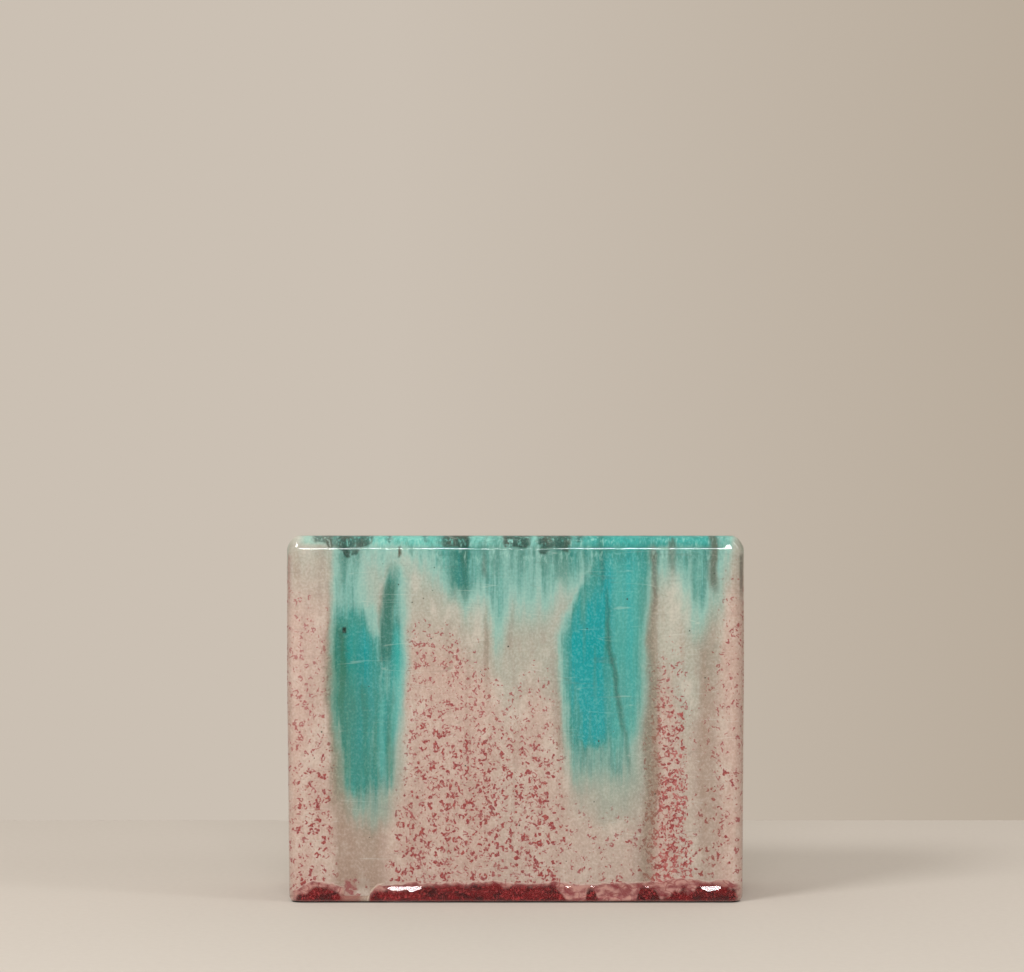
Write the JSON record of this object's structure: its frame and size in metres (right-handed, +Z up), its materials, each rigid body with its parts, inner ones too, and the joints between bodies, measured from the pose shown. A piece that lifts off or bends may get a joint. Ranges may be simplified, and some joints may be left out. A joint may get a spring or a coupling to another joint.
{
  "type": "art glass vase",
  "caption": "Rectangular block vase of thick cased art glass, with a wide mouth, a rounded lip wrap and a heavy foot, for flowers or for display.",
  "frame": {"origin": "middle of the ground foot, on the surface that the vase stands on", "axes": "+Z up through the mouth, +X to the right of the front along the long side, and the front faces -Y"},
  "size_m": [0.2, 0.07, 0.16],
  "materials": {
    "opal_glass": "opaque cream opal glass, fire polished inside",
    "base_glass": "thick smoky clear glass, ground flat underneath",
    "ruby_glass": "deep ruby glass, pooled under the casing",
    "lip_glass": "turquoise glass with dark mottles, under the casing",
    "clear_glass": "clear glass, fire polished, with fine crackle lines",
    "fleck_glass": "cream glass with rose-red flecks",
    "turquoise_glass": "turquoise glass with darker streaks"
  },
  "bodies": {
    "root": {"opal_liner": "opal_glass", "base_gather": "base_glass", "foot_wrap": "ruby_glass", "lip_wrap": "lip_glass", "clear_casing": "clear_glass", "fleck_sheet_front": "fleck_glass", "fleck_sheet_back": "fleck_glass", "fleck_sheet_left": "fleck_glass", "fleck_sheet_right": "fleck_glass", "run_front_left": "turquoise_glass", "run_front_right": "turquoise_glass", "run_front_centre": "turquoise_glass", "run_front_end": "turquoise_glass", "run_back_left": "turquoise_glass", "run_back_centre": "turquoise_glass", "run_back_right": "turquoise_glass", "run_side_left": "turquoise_glass", "run_side_right": "turquoise_glass"}
  },
  "joints": []
}
